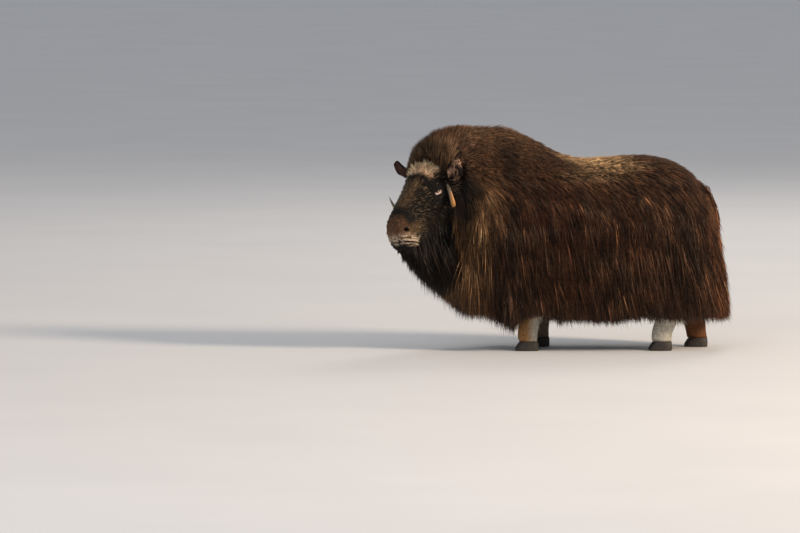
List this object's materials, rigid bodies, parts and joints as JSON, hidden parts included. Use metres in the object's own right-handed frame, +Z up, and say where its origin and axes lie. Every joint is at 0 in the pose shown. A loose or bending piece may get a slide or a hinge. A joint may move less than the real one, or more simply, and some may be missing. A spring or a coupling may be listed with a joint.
{
  "type": "muskox",
  "caption": "Life-size standing muskox cow in winter coat, shaggy skirt and mane, small hooked horns, head turned to its left, resting on flat hoof soles.",
  "frame": {"origin": "on the floor, under the middle of the bounding box", "axes": "+Z up; the animal faces -X and its left side faces -Y"},
  "size_m": [1.96, 0.7618, 1.2832],
  "materials": {
    "coat": "long dark brown guard hair, matt",
    "face_fur": "short dark brown hair, matt",
    "ear_fur": "short brown hair with a pale lining, matt",
    "foreleg_fur": "short tan hair, matt",
    "hindleg_fur": "short cream and rust hair, matt",
    "horn": "smooth keratin, satin",
    "hoof": "worn keratin, matt",
    "eye": "wet, glossy"
  },
  "bodies": {
    "root": {"torso": "coat", "neck": "coat", "skirt_left": "coat", "skirt_right": "coat", "skirt_rear_left": "coat", "skirt_rear_right": "coat", "tail": "coat", "head": "face_fur", "ear_left": "ear_fur", "ear_right": "ear_fur", "eye_left": "eye", "eye_right": "eye", "horn_left": "horn", "horn_right": "horn", "foreleg_left": "foreleg_fur", "foreleg_right": "foreleg_fur", "hindleg_left": "hindleg_fur", "hindleg_right": "hindleg_fur", "hoof_foreleg_left_inner": "hoof", "hoof_foreleg_left_outer": "hoof", "hoof_foreleg_right_inner": "hoof", "hoof_foreleg_right_outer": "hoof", "hoof_hindleg_left_inner": "hoof", "hoof_hindleg_left_outer": "hoof", "hoof_hindleg_right_inner": "hoof", "hoof_hindleg_right_outer": "hoof"}
  },
  "joints": []
}
